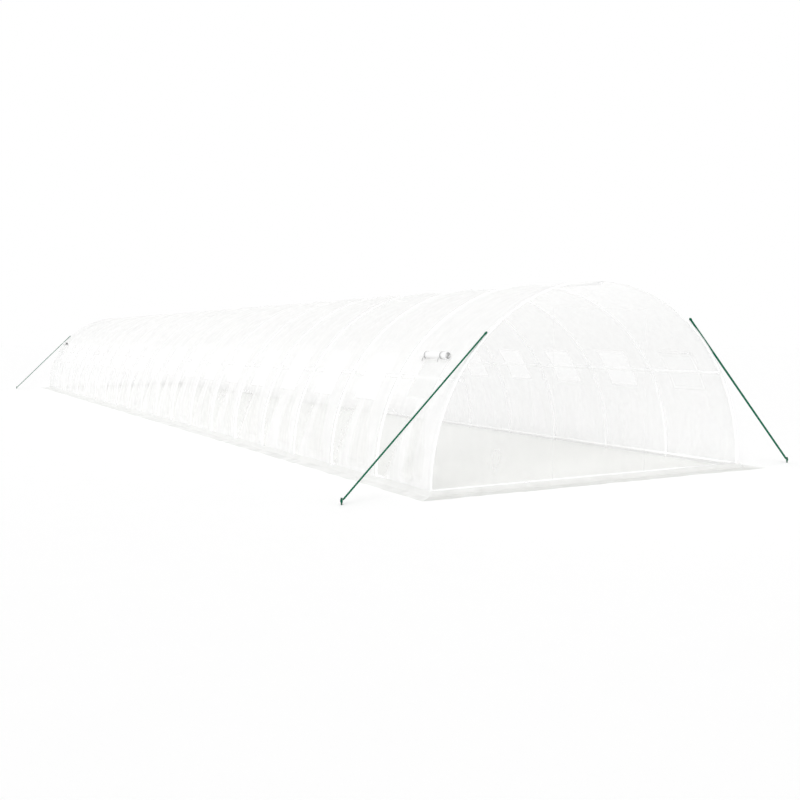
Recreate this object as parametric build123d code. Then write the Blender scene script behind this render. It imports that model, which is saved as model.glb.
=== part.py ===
"""A long film-covered tunnel greenhouse on steel hoops, with windows, doors, skirts and stays."""

import os
from math import asin, atan2, ceil, cos, degrees, floor, radians, sin, sqrt

from build123d import *

# Overall sizes, in millimetres
tunnel_length = 22000
tunnel_width = 4000
springing_height = 50
bay_count = 20

# Steel tube of the hoops and pipes
tube_diameter = 25
tube_sides = 8
pipe_gap = 0.5
seat_gap = 0.3

# Equal bends of a hoop, and places along it as shares of the way from one foot to the other
hoop_steps = 23
side_pipe_share = 0.174
roof_split_share = 0.391
stay_share = 0.261

# Film cover, windows and flaps, with heights measured along the arch from its springing
film_thickness = 3
screen_thickness = 1.5
window_foot_run = 855
window_height = 448
window_width = 450
flap_width = 500
flap_drop = 80
flap_lap = 26
roll_diameter = 72
strap_width = 14
strap_thickness = 2
strap_place_share = 0.3

# End doors
door_width = 1200
door_head_clearance = 200
zip_width = 16
zip_thickness = 3

# Film skirt that lies out on the ground
skirt_slope_run = 40
skirt_reach = 200

# Guy ropes and their ground pegs; the right ones stand nearer and reach further up the arch
rope_diameter = 21
right_rope_tail = 200
left_rope_tail = 70
rope_hold_height = 32
right_peg_standoff = 820
left_peg_standoff = 900
peg_diameter = 16
peg_height = 65
peg_head_diameter = 20
peg_head_thickness = 6

# Sizes that follow from those above
hoop_radius = (tunnel_width - tube_diameter) / 2
step_angle = 180 / hoop_steps
bend_share = cos(radians(step_angle / 2))
step_length = 2 * hoop_radius * sin(radians(step_angle / 2))
side_pipe_bend = round(side_pipe_share * hoop_steps)
roof_split_bend = round(roof_split_share * hoop_steps)
stay_bend = round(stay_share * hoop_steps)
bay_length = tunnel_length / bay_count
film_inner = tube_diameter / 2 + seat_gap
film_outer = film_inner + film_thickness
end_inner = tunnel_length / 2 + film_inner
end_outer = end_inner + film_thickness
bay_middles = [(bay + 1 / 2) * bay_length - tunnel_length / 2 for bay in range(bay_count)]
window_foot_step = window_foot_run / step_length
window_head_step = (window_foot_run + window_height) / step_length
flap_foot_step = (window_foot_run - flap_drop) / step_length
flap_head_step = (window_foot_run + window_height + flap_lap) / step_length
band_foot_step = floor(window_foot_step)
band_head_step = ceil(window_head_step)
end_reach = hoop_radius * bend_share + film_inner - seat_gap
door_height = sqrt(end_reach**2 - (door_width / 2) ** 2) - door_head_clearance


def bend_point(offset, bend):
    """Corner of the hoop's outline, moved outward by offset, at a bend given by its number."""
    reach = hoop_radius + offset / bend_share
    angle = radians(bend * step_angle)
    return Vector(reach * cos(angle), springing_height + reach * sin(angle))


def arch_point(offset, step):
    """Point on the hoop's outline at any step, straight between two bends."""
    low = floor(step)
    start = bend_point(offset, low)
    return start + (bend_point(offset, low + 1) - start) * (step - low)


def steps_between(first, last):
    """The two given steps and every bend between them."""
    return [first, *range(floor(first) + 1, ceil(last)), last]


def strip(inner, outer, first, last, length):
    """Sheet that follows the arch from one step to another, as long as given, along Y."""
    steps = steps_between(first, last)
    rim = [arch_point(outer, step) for step in steps]
    rim += [arch_point(inner, step) for step in reversed(steps)]
    return extrude(Plane.XZ * make_face(Polyline(*rim, close=True)), length / 2, both=True)


def tube_profile():
    """Few-sided outline of a tube, with flats to the sides, top and bottom."""
    turn = 180 / tube_sides
    return RegularPolygon(tube_diameter / 2, tube_sides, major_radius=False, rotation=turn)


def straight_pipe(x, z, turn, length):
    """Pipe along Y through a point of the cross-section, with a flat turned to the hoops."""
    profile = Plane.XZ * (Pos(x, z) * Rot(0, 0, turn) * tube_profile())
    return extrude(profile, length / 2, both=True)


def hoop_pipe(step):
    """Pipe that runs the length of the tunnel just inside the hoops."""
    place = arch_point(-tube_diameter - pipe_gap, step)
    return straight_pipe(place.X, place.Y, step * step_angle, tunnel_length + tube_diameter)


def mirrored(shape):
    """The same shape on the other side of the tunnel."""
    return mirror(shape, about=Plane.YZ)


def at_back(shape):
    """The same shape at the other end of the tunnel."""
    return mirror(shape, about=Plane.XZ)


def save(node, *shapes):
    """Writes one node, with one solid or several that stand apart."""
    solids = [solid for shape in shapes for solid in shape.solids()]
    export_step(solids[0] if len(solids) == 1 else Compound(children=solids), f"parts/{node}.step")


os.makedirs("parts", exist_ok=True)

# Hoops, each one bent bar standing on its two feet
foot_line = [Vector(hoop_radius, 0)]
foot_line += [bend_point(0, bend) for bend in range(hoop_steps + 1)]
foot_line += [Vector(-hoop_radius, 0)]
hoop_path = Plane.XZ * Polyline(*foot_line)
hoop_foot = Pos(hoop_radius, 0, 0) * tube_profile()
hoop = sweep(hoop_foot, path=hoop_path, transition=Transition.RIGHT)
for number in range(bay_count + 1):
    save(f"hoop_{number + 1:02d}", Pos(0, number * bay_length - tunnel_length / 2, 0) * hoop)

# Pipes along the ridge, the sides and the ground
right_side_pipe = hoop_pipe(side_pipe_bend)
right_ground_pipe = hoop_pipe(0)
save("ridge_pipe", hoop_pipe(hoop_steps / 2))
save("right_side_pipe", right_side_pipe)
save("left_side_pipe", mirrored(right_side_pipe))
save("right_ground_pipe", right_ground_pipe)
save("left_ground_pipe", mirrored(right_ground_pipe))
ground_pipe_place = arch_point(-tube_diameter - pipe_gap, 0).X
end_pipe_length = 2 * (ground_pipe_place - tube_diameter / 2 - seat_gap)
end_pipe = Rot(0, 0, 90) * straight_pipe(0, springing_height, 0, end_pipe_length)
save("front_ground_pipe", Pos(0, -tunnel_length / 2, 0) * end_pipe)
save("back_ground_pipe", Pos(0, tunnel_length / 2, 0) * end_pipe)

# Film cover in strips along the tunnel, with the windows cut through the window strips
cover_length = 2 * end_outer
lower_film = strip(film_inner, film_outer, 0, band_foot_step, cover_length)
roof_film = strip(film_inner, film_outer, band_head_step, roof_split_bend, cover_length)
window_film = strip(film_inner, film_outer, band_foot_step, band_head_step, cover_length)
window_cut = strip(0, film_outer + film_inner, window_foot_step, window_head_step, window_width)
window_film -= [Pos(0, middle, 0) * window_cut for middle in bay_middles]
for side, turned in (("right", False), ("left", True)):
    for node, sheet in (("lower", lower_film), ("window", window_film), ("roof", roof_film)):
        save(f"{side}_{node}_film", mirrored(sheet) if turned else sheet)
other_split_bend = hoop_steps - roof_split_bend
save("ridge_film", strip(film_inner, film_outer, roof_split_bend, other_split_bend, cover_length))

# Mesh screens in the window openings
screen_inner = film_inner + (film_thickness - screen_thickness) / 2
screen_outer = screen_inner + screen_thickness
screen_width = window_width - 2 * seat_gap
screen = strip(screen_inner, screen_outer, window_foot_step, window_head_step, screen_width)
right_screens = [Pos(0, middle, 0) * screen for middle in bay_middles]
save("right_window_screens", *right_screens)
save("left_window_screens", *[mirrored(piece) for piece in right_screens])

# Film flaps that hang over the windows, with those of the end bays rolled up under two straps
flap_inner = film_outer + seat_gap
flap = strip(flap_inner, flap_inner + film_thickness, flap_foot_step, flap_head_step, flap_width)
right_flaps = [Pos(0, middle, 0) * flap for middle in bay_middles[1:-1]]
save("right_window_flaps", *right_flaps)
save("left_window_flaps", *[mirrored(piece) for piece in right_flaps])
roll_lift = strap_thickness + 2 * seat_gap + roll_diameter / 2
roll_place = arch_point(film_outer + roll_lift, window_head_step)
roll_plane = Plane.XZ.offset(-bay_middles[0]) * Pos(roll_place.X, roll_place.Y)
roll = extrude(roll_plane * Circle(roll_diameter / 2), flap_width / 2, both=True)
right_rolls = [roll, at_back(roll)]
save("right_rolled_flaps", *right_rolls)
save("left_rolled_flaps", *[mirrored(piece) for piece in right_rolls])
strap_inner = roll_diameter / 2 + seat_gap
strap_ring = Circle(strap_inner + strap_thickness) - Circle(strap_inner)
strap = extrude(roll_plane * strap_ring, strap_width / 2, both=True)
strap_shift = flap_width * strap_place_share
straps = [Pos(0, shift, 0) * strap for shift in (-strap_shift, strap_shift)]
straps += [at_back(piece) for piece in straps]
save("roll_straps", *straps, *[mirrored(piece) for piece in straps])

# End films with a doorway, the zipped door panel in it and the zip over the joint
end_rim = [bend_point(film_inner - seat_gap, bend) for bend in range(hoop_steps + 1)]
end_face = make_face(Polyline(*end_rim, close=True))
doorway = Pos(0, springing_height + door_height / 2) * Rectangle(door_width, door_height)
panel_width = door_width - 2 * seat_gap
panel_height = door_height - seat_gap
panel = Pos(0, springing_height + panel_height / 2) * Rectangle(panel_width, panel_height)
zip_height = door_height + zip_width / 2
zip_outer = Rectangle(door_width + zip_width, zip_height)
zip_outer = Pos(0, springing_height + zip_height / 2) * zip_outer
zip_inner_height = door_height - zip_width / 2
zip_inner = Rectangle(door_width - zip_width, zip_inner_height)
zip_inner = Pos(0, springing_height + zip_inner_height / 2) * zip_inner
end_plane = Plane.XZ.offset(end_inner)
zip_plane = Plane.XZ.offset(end_outer + seat_gap)
end_film = extrude(end_plane * (end_face - doorway), film_thickness)
door = extrude(end_plane * panel, film_thickness)
door_zip = extrude(zip_plane * (zip_outer - zip_inner), zip_thickness)
for node, piece in (("end_film", end_film), ("door", door), ("door_zip", door_zip)):
    save(f"front_{node}", piece)
    save(f"back_{node}", at_back(piece))

# Skirts that slope from the foot of the film and lie out on the ground, mitred at the corners
skirt_outline = [
    (0, springing_height),
    (film_thickness, springing_height),
    (film_thickness + skirt_slope_run, film_thickness),
    (film_thickness + skirt_reach, film_thickness),
    (film_thickness + skirt_reach, 0),
    (skirt_slope_run, 0),
]
skirt_x = bend_point(film_inner, 0).X


def skirt(start, half_length):
    """Skirt along Y whose ends widen outward at half a right angle."""
    ends = []
    for way in (-1, 1):
        points = [(start + out, way * (half_length + out), up) for out, up in skirt_outline]
        ends.append(make_face(Polyline(*points, close=True)))
    return loft(ends, ruled=True)


right_skirt = skirt(skirt_x, end_inner)
back_skirt = Rot(0, 0, 90) * skirt(end_inner, skirt_x)
save("right_skirt", right_skirt)
save("left_skirt", mirrored(right_skirt))
save("back_skirt", back_skirt)
save("front_skirt", at_back(back_skirt))

# Guy ropes from the end hoops to the pegs, each touching the cover at one bend
def guy(standoff, tail):
    """Rope and peg on the right at Y = 0, for a peg's distance and the rope's length past the cover."""
    place = tunnel_width / 2 + standoff
    peg = Pos(place, 0, peg_height / 2) * Cylinder(peg_diameter / 2, peg_height)
    head_middle = peg_height - peg_head_thickness / 2
    peg += Pos(place, 0, head_middle) * Cylinder(peg_head_diameter / 2, peg_head_thickness)
    hold = Vector(place, rope_hold_height)
    touch = arch_point(film_outer, stay_bend) - hold
    swing = asin((rope_diameter / 2 + seat_gap) / touch.length)
    heading = atan2(touch.Y, touch.X) - swing
    room = peg_diameter / 2 + seat_gap + rope_diameter / 2 * sin(heading)
    start = room / -cos(heading)
    length = touch.length * cos(swing) + tail - start
    line = Plane.XZ * Pos(hold.X, hold.Y) * Rot(0, 0, degrees(heading)) * Rot(0, 90, 0)
    return extrude(line * Pos(0, 0, start) * Circle(rope_diameter / 2), length), peg


right_guy = guy(right_peg_standoff, right_rope_tail)
left_guy = [mirrored(piece) for piece in guy(left_peg_standoff, left_rope_tail)]
for node, pair in zip(("guy_ropes", "ground_pegs"), zip(right_guy, left_guy)):
    at_front = [Pos(0, -tunnel_length / 2, 0) * piece for piece in pair]
    save(node, *at_front, *[at_back(piece) for piece in at_front])
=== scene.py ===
# %% [markdown]
# # A film tunnel greenhouse
# The solids of the tunnel come ready made: hoops, pipes, film strips, windows, doors, skirts and
# ropes, all in metres with the ground at zero and the tunnel lying along Y. This lesson dresses
# them. Film, net, rope and round tube are made anew as surfaces worked out with numpy.

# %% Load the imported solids
import math

import bpy
import numpy as np
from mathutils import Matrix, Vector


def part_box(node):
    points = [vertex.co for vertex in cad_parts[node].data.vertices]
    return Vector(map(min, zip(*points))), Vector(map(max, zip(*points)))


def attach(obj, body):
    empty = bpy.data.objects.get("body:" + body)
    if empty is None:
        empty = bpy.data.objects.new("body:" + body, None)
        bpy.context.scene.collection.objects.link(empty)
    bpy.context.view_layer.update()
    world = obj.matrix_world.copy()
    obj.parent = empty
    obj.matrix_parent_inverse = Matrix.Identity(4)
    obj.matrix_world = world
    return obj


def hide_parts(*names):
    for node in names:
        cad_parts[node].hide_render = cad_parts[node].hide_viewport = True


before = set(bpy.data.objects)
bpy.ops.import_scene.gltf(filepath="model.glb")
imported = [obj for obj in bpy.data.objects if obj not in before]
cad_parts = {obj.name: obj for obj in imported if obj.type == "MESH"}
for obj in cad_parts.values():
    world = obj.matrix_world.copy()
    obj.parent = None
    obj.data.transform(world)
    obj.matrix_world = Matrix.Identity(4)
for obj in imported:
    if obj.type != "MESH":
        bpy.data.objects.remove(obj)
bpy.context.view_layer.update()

# %% [markdown]
# ## Sizes
# Every new piece has to lie where its solid lies, so the main sizes are read from the solids
# instead of being typed again: the hoops give the radius and the bays, the lower film the height
# at which the arch springs from its feet. Only two values can't be read from a box: the number of
# straight steps in which the solids' arch is bent, and the gap that keeps the film off the tubes.

# %% Read the main sizes
hoop_low, hoop_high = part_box("hoop_01")
tube_radius = (hoop_high.y - hoop_low.y) / 2
hoop_reach = (hoop_high.x - hoop_low.x) / 2
half_length = -(hoop_high.y + hoop_low.y) / 2
bay_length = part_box("hoop_02")[0].y - hoop_low.y
bay_count = round(2 * half_length / bay_length)
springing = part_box("left_lower_film")[0].z
bay_middles = (np.arange(bay_count) + 0.5) * bay_length - half_length
hoop_places = np.arange(bay_count + 1) * bay_length - half_length
bend_count = 23
bend = math.pi / bend_count
film_gap = 0.0008
print(f"tunnel {2 * half_length:.2f} m long, {2 * hoop_reach:.2f} m wide, bays of {bay_length:.2f} m")

# %% [markdown]
# ## From arrays to a piece
# A surface is a grid of points, and a cell joins four of them. The helper below takes the points
# and the cells as whole arrays and hands them to the mesh in one go. Film is a fraction of a
# millimetre thick, so a sheet of it is one grid with no inside. A tube is a grid closed on itself,
# with a cap on either end. Every point also carries a value for the materials.

# %% Sheets and tubes as arrays
def grid_cells(rows, columns, wrap=False):
    """Corner numbers (i, j), (i+1, j), (i+1, j+1), (i, j+1) of every cell of a grid of points."""
    i, j = np.meshgrid(np.arange(rows - 1), np.arange(columns if wrap else columns - 1), indexing="ij")
    k = (j + 1) % columns
    cells = np.stack([i * columns + j, (i + 1) * columns + j, (i + 1) * columns + k, i * columns + k], -1)
    return cells.reshape(-1, 4)


def unit(vectors):
    """Vectors divided by their length."""
    return vectors / np.maximum(np.linalg.norm(vectors, axis=-1, keepdims=True), 1e-12)


def sheet_arrays(surface, values, keep=None, flip=False):
    """Points, cells and values of a sheet given as a grid; cells outside the keep mask are left out."""
    cells = grid_cells(*surface.shape[:2])
    cells = cells[:, ::-1] if flip else cells
    used, cells = np.unique(cells if keep is None else cells[keep.ravel()], return_inverse=True)
    values = values.reshape(surface.shape[0] * surface.shape[1], -1)
    return surface.reshape(-1, 3)[used], [cells.reshape(-1, 4)], values[used]


def closed_arrays(points, uv=None):
    """Points, cells with end caps, and flat coordinates of a grid that is closed on itself."""
    rows, sides = points.shape[:2]
    cap = np.arange(sides)
    caps = np.stack([cap, cap[::-1] + (rows - 1) * sides])
    uv = np.zeros((rows, sides, 2)) if uv is None else uv
    return points.reshape(-1, 3), [grid_cells(rows, sides, wrap=True), caps], uv.reshape(-1, 2)


def tube_arrays(path, radius, sides, across):
    """Round profile carried along a path: p(s, a) = path + radius (N cos a + B sin a).

    N is square to the path and to the direction across, B to both, and flat caps close the ends.
    """
    forward = unit(np.gradient(path, axis=0))
    side = unit(np.cross(forward, across))
    upright = np.cross(side, forward)
    turn = np.linspace(0, 2 * math.pi, sides, endpoint=False)[None, :, None]
    ring = side[:, None] * np.cos(turn) + upright[:, None] * np.sin(turn)
    points = path[:, None] + np.broadcast_to(radius, len(path))[:, None, None] * ring
    along = np.concatenate([[0], np.cumsum(np.linalg.norm(np.diff(path, axis=0), axis=1))])
    return closed_arrays(points, np.stack(np.broadcast_arrays(along[:, None], np.arange(sides) / sides), -1))


print("a grid of 5 by 7 points has", len(grid_cells(5, 7)), "cells")

# %% One piece from its parts
def put_piece(name, parts, finish, nodes=()):
    """Makes one mesh object from parts, each with its points, arrays of faces and values per point.

    Two values on a point are its flat coordinates, and a single one is the film's haze.
    """
    starts = np.cumsum([0] + [len(part[0]) for part in parts[:-1]])
    points, values = (np.concatenate([part[k] for part in parts]).astype(np.float32) for k in (0, 2))
    faces = [face + start for part, start in zip(parts, starts) for face in part[1]]
    corners = np.concatenate([face.ravel() for face in faces]).astype(np.int32)
    sizes = np.concatenate([np.full(len(face), face.shape[1]) for face in faces])
    mesh = bpy.data.meshes.new(name)
    mesh.vertices.add(len(points))
    mesh.vertices.foreach_set("co", points.ravel())
    mesh.loops.add(len(corners))
    mesh.loops.foreach_set("vertex_index", corners)
    mesh.polygons.add(len(sizes))
    mesh.polygons.foreach_set("loop_start", np.concatenate([[0], np.cumsum(sizes)[:-1]]).astype(np.int32))
    mesh.polygons.foreach_set("use_smooth", sizes == 4)
    if values.shape[1] == 2:
        mesh.uv_layers.new(name="flat").data.foreach_set("uv", values[corners].ravel())
    else:
        mesh.attributes.new("haze", "FLOAT", "POINT").data.foreach_set("value", values.ravel())
    mesh.update(calc_edges=True)
    mesh.materials.append(finish)
    piece = bpy.data.objects.new(name, mesh)
    bpy.context.scene.collection.objects.link(piece)
    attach(piece, "root")
    if nodes:
        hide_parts(*nodes)
    print(f"{name}: {len(points)} points, {int((sizes - 2).sum())} triangles")
    return piece


print("piece helper ready")

# %% [markdown]
# ## Uneven film
# Nothing about loose film is regular, and a sine wave would show. A random field does better:
# random heights on a coarse lattice, blended smoothly between its corners. The seed is fixed, so
# that every run gives the same wrinkles.

# %% Random field
def ripples(u, v, size_u, size_v, seed):
    """Smooth field from -1 to 1: lattice heights blended by 3t^2 - 2t^3 between their corners."""
    rows, columns = 97, 89
    heights = np.random.default_rng(seed).uniform(-1, 1, (rows, columns))
    a, b = np.broadcast_arrays(u / size_u, v / size_v)
    i, j = np.floor(a).astype(int), np.floor(b).astype(int)
    s, t = a - i, b - j
    s, t = s * s * (3 - 2 * s), t * t * (3 - 2 * t)

    def height(p, q):
        return heights[p % rows, q % columns]

    near = height(i, j) * (1 - s) + height(i + 1, j) * s
    far = height(i, j + 1) * (1 - s) + height(i + 1, j + 1) * s
    return near * (1 - t) + far * t


def smooth_step(low, high, value):
    """0 below low, 1 above high and 3t^2 - 2t^3 between."""
    t = np.clip((value - low) / (high - low), 0, 1)
    return t * t * (3 - 2 * t)


print("ripples at one place:", float(ripples(np.array(0.3), np.array(0.7), 0.2, 0.2, 5)))

# %% [markdown]
# ## Shader sums in Python
# A material is a graph of small nodes, and wiring a sum by hand takes a line for each of them.
# The class below wraps a socket and gives it Python's operators, so that 1 - mask * 0.5 adds the
# Math nodes by itself. Every other node comes from one method.

# %% Socket class
class Value:
    """A shader socket that can be added, taken away, multiplied and divided."""

    def __init__(self, finish, socket):
        self.finish, self.socket = finish, socket

    def math(self, operation, *others):
        """One Math node with this value as its first input."""
        inputs = {k: other for k, other in enumerate((self, *others))}
        return self.finish.node("ShaderNodeMath", {"operation": operation}, inputs)

    def __add__(self, other):
        return self.math("ADD", other)

    def __mul__(self, other):
        return self.math("MULTIPLY", other)

    def __sub__(self, other):
        return self.math("SUBTRACT", other)

    def __rsub__(self, other):
        return self.finish.node("ShaderNodeMath", {"operation": "SUBTRACT"}, {0: other, 1: self})

    def __truediv__(self, other):
        return self.math("DIVIDE", other)

    def __rtruediv__(self, other):
        return self.finish.node("ShaderNodeMath", {"operation": "DIVIDE"}, {0: other, 1: self})

    __radd__, __rmul__ = __add__, __mul__

    def __abs__(self):
        return self.math("ABSOLUTE")

    def wave(self, radians):
        """Sine of the value times the given radians, moved to run from 0 to 1."""
        return (self * radians).math("SINE") * 0.5 + 0.5

    def ease(self, low, high, start=0.0, end=1.0):
        """Smooth step of the value from start at low to end at high."""
        settings = {"interpolation_type": "SMOOTHSTEP"}
        sockets = {"Value": self, "From Min": low, "From Max": high, "To Min": start, "To Max": end}
        return self.finish.node("ShaderNodeMapRange", settings, sockets, "Result")


print("socket class ready")

# %% Finish builder
class Finish:
    """One material with a Principled shader, whose nodes are added by a single method."""

    def __init__(self, name):
        self.material = bpy.data.materials.new(name)
        self.material.use_nodes = True
        self.tree = self.material.node_tree
        self.shader = self.tree.nodes["Principled BSDF"]

    def node(self, kind, settings=None, sockets=None, output=0):
        """Adds a node, sets its settings first, then its sockets, and gives one output back."""
        made = self.tree.nodes.new(kind)
        for setting, value in (settings or {}).items():
            setattr(made, setting, value)
        for socket, value in (sockets or {}).items():
            self.join(made.inputs[socket], value)
        return Value(self, made.outputs[output])

    def join(self, socket, value):
        """Links a value to a socket, or sets the socket to a plain number or colour."""
        if isinstance(value, Value):
            self.tree.links.new(value.socket, socket)
        else:
            socket.default_value = value

    def set(self, **sockets):
        """Values or links of the shader's own sockets, with _ for a space in their names."""
        for socket, value in sockets.items():
            self.join(self.shader.inputs[socket.replace("_", " ")], value)
        return self.material

    def set_film(self, opacity, glow, colour, through, normal, **sockets):
        """Thin film: clear by 1 - opacity, and the rest shared between its face and light from behind.

        The face takes a colour that may vary, and the light from behind takes one colour, through.
        """
        face = Value(self, self.shader.outputs[0])
        behind = self.node("ShaderNodeBsdfTranslucent", None, {"Color": through, "Normal": normal})
        clear = self.node("ShaderNodeBsdfTransparent")
        body = self.node("ShaderNodeMixShader", None, {0: glow, 1: face, 2: behind})
        shown = self.node("ShaderNodeMixShader", None, {0: opacity, 1: clear, 2: body})
        self.join(self.tree.nodes["Material Output"].inputs["Surface"], shown)
        return self.set(Base_Color=colour, Normal=normal, **sockets)

    def place(self):
        """Object coordinates, the same as the tunnel's own."""
        return self.node("ShaderNodeTexCoord", output="Object")

    def flat(self):
        """The piece's own flat pattern coordinates."""
        return self.node("ShaderNodeUVMap", {"uv_map": "flat"})

    def split(self, vector):
        """X, Y and Z of a vector as three values."""
        made = self.node("ShaderNodeSeparateXYZ", sockets={0: vector})
        return [Value(self, made.socket.node.outputs[k]) for k in range(3)]

    def mark(self, name):
        """A value stored on the points of the mesh."""
        return self.node("ShaderNodeAttribute", {"attribute_name": name}, output="Fac")

    def noise(self, vector, scale, detail=3.0, rough=0.55):
        """Cloudy noise from 0 to 1."""
        sockets = {"Vector": vector, "Scale": scale, "Detail": detail, "Roughness": rough}
        return self.node("ShaderNodeTexNoise", sockets=sockets, output="Fac")

    def stretched(self, vector, scale):
        """A vector with each of its axes scaled on its own."""
        return self.node("ShaderNodeVectorMath", {"operation": "MULTIPLY"}, {0: vector, 1: scale}, "Vector")

    def mix(self, share, first, second):
        """Colour between two colours."""
        made = self.node("ShaderNodeMix", {"data_type": "RGBA"}).socket.node
        colours = [socket for socket in made.inputs if socket.type == "RGBA"]
        self.join(made.inputs[0], share)
        self.join(colours[0], first)
        self.join(colours[1], second)
        return Value(self, next(s for s in made.outputs if s.type == "RGBA"))

    def bump(self, height, strength, distance):
        """Normal of a surface raised by a height."""
        sockets = {"Strength": strength, "Distance": distance, "Height": height}
        return self.node("ShaderNodeBump", sockets=sockets, output="Normal")


print("finish builder ready")

# %% [markdown]
# ## Film finishes
# The cover is thin milky film. Light goes through it, but haze, creases and the hems at both ends
# show white. So three shaders are mixed: a clear one, the film's own face, and a translucent one
# that lets the light behind shine through. The haze is stored on the points of each sheet, and noise
# breaks it up. Where the cover is drawn tight over a hoop or a side pipe it is clearer, and the white
# tube below shows through. Painted highlights whiten it beside the hoops of the near roof and in a
# band at window height on the left wall, and painted sheen whitens it towards the back. Flaps and
# rolls are whiter than the cover, and thinner on the right wall.

# %% Film finish
pipe_low, pipe_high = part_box("right_side_pipe")
pipe_height = (pipe_low.z + pipe_high.z) / 2
# Metres off a hoop or a pipe between which the film goes from tight, or from painted highlight, to its usual
# look
hoop_strip, pipe_strip, hoop_highlight_strip = (0.024, 0.034), (0.016, 0.024), (0.02, 0.085)
highlight_band_foot, highlight_band_top = (0.78, 0.98), (1.25, 1.45)
hem_start, hem_full = half_length - 0.045, half_length - 0.035


def grey(tone):
    """A colour of one tone."""
    return (tone, tone, tone, 1.0)


def film_finish(name, clear, white, thin, thick, strips_hems_and_painted_sheen=False, dull=None, glow=0.45, usual=0.95):
    """Milky film: opacity goes from thin to thick, and the colour from clear to white, with the haze.

    Light from behind takes the colour at the film's usual haze.
    """
    film = Finish(name)
    place = film.place()
    cloud = film.noise(film.stretched(place, (1.0, 0.8, 1.3)), 2.3, 2.0, 0.5)
    streak = film.noise(film.stretched(place, (4.0, 6.0, 0.7)), 1.5, 1.0, 0.5)
    haze = film.mark("haze") + (cloud - 0.5) * 0.34 + (streak - 0.5) * 0.22
    haze = haze.math("MAXIMUM", 0.0).math("MINIMUM", 1.0)
    colour = film.mix(haze, clear, white)
    opacity = haze * (thick - thin) + thin
    if strips_hems_and_painted_sheen:
        over, along, height = film.split(place)
        off_hoop = abs((along / bay_length + 0.5).math("FRACT") - 0.5) * bay_length
        off_pipe = abs(height - pipe_height)
        # Painted highlight and sheen: the film's colour is whitened in a band at window height on the left
        # wall, in strips beside the hoops of the near roof, and more and more towards the back.
        band = over.ease(-0.6, 0.0, 1.0, 0.0) * height.ease(*highlight_band_foot) * height.ease(*highlight_band_top, 1.0, 0.0)
        beside = off_hoop.ease(*hoop_highlight_strip, 1.0, 0.0) * height.ease(1.0, 1.3)
        beside = beside * along.ease(-half_length * 0.7, -half_length * 0.2, 1.0, 0.0)
        painted_sheen = (along.ease(-half_length * 0.6, half_length * 0.4) * 0.55).math("MAXIMUM", band * 0.8)
        painted_sheen = painted_sheen.math("MAXIMUM", beside * 0.9)
        colour = film.mix(painted_sheen, colour, grey(0.985))
        over_pipe = off_pipe.ease(*pipe_strip, 1.0, 0.0)
        tight = off_hoop.ease(*hoop_strip, 1.0, 0.0).math("MAXIMUM", over_pipe)
        hidden = height.ease(1.0, 1.5) * along.ease(-half_length * 0.8, -half_length * 0.2)
        opacity = opacity * (1 - tight * along.ease(-half_length, 0.0, 0.75, 0.3) * (1 - hidden))
        hem = abs(along).ease(hem_start, hem_full)
        colour = film.mix(hem, colour, grey(0.965))
        opacity = opacity * (1 - hem) + hem * 0.9
    if dull:
        dirt = film.noise(place, 6.0, 6.0, 0.7).ease(0.5, 0.8)
        colour = film.mix(dirt * 0.35, colour, dull)
    crease = film.noise(film.stretched(place, (1.0, 0.35, 1.0)), 9.0)
    normal = film.bump(film.noise(place, 26.0, 6.0, 0.62) + crease * 1.6, 0.07, 0.004)
    through = [low + (high - low) * usual for low, high in zip(clear, white)]
    return film.set_film(opacity, glow, colour, through, normal, Roughness=cloud * 0.2 + 0.25)


print(f"side pipes below the film at {pipe_height:.3f} m")

# %% Film materials
cover_film = film_finish("cover_film", (0.90, 0.90, 0.898, 1.0), grey(0.963), 0.12, 0.95, strips_hems_and_painted_sheen=True)
# Painted shade: the end film is the same film as the cover, given a darker grey so that the ends read shaded.
end_film = film_finish("end_film", grey(0.79), grey(0.875), 0.12, 0.38, usual=0.45)
flap_film, thin_flap_film, roll_film, thin_roll_film = (
    film_finish(name, grey(0.975), grey(0.985), thin, thick, glow=glow)
    for name, thin, thick, glow in (("flap_film", 0.88, 0.96, 0.3), ("thin_flap_film", 0.7, 0.8, 0.85),
                                    ("roll_film", 0.95, 1.0, 0.04), ("thin_roll_film", 0.08, 0.13, 0.7)))
side_skirt_film, end_skirt_film = (
    film_finish(name, (0.74, 0.742, 0.725, 1.0), (0.94, 0.942, 0.935, 1.0), 0.7, 0.9,
                dull=(0.60, 0.605, 0.56, 1.0), usual=usual)
    for name, usual in (("side_skirt_film", 0.85), ("end_skirt_film", 0.2)))
print("film finishes made")

# %% [markdown]
# ## Net, tube, clip, zip, strap, rope and peg finishes
# Each has the pattern of its own making: the threads of the net and the webbing, the spangle of
# hot-dipped zinc, the teeth of a zip, the fibres of a twisted rope, and paint scuffed in patches.

# %% Net
def net_finish():
    """White net in a tape border, thinner behind the flaps; flat coordinates run from the net's middle."""
    net = Finish("window_net")
    u, v, _ = net.split(net.flat())
    open_bay = abs(net.split(net.place())[1]).ease(half_length - bay_length, half_length - bay_length + 0.05)
    tape = abs(u).math("MAXIMUM", abs(v)).ease(0.213, 0.217)
    threads = u.wave(900.0).math("MAXIMUM", v.wave(900.0))
    patch = net.noise(net.flat(), 7.0, 4.0)
    woven = threads.ease(0.2, 0.9) * 0.15 + patch * 0.1 + 0.02 + open_bay * 0.26
    opacity = woven * (1 - tape) + tape * (open_bay * 0.4 + 0.2)
    colour = net.mix(tape, (0.93, 0.935, 0.93, 1.0), (0.975, 0.975, 0.97, 1.0))
    normal = net.bump(threads, 0.3, 0.001)
    return net.set_film(opacity, 0.45, colour, (0.94, 0.945, 0.94, 1.0), normal, Roughness=0.55 + patch * 0.2)


window_net = net_finish()
print("finish made:", window_net.name)

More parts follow.
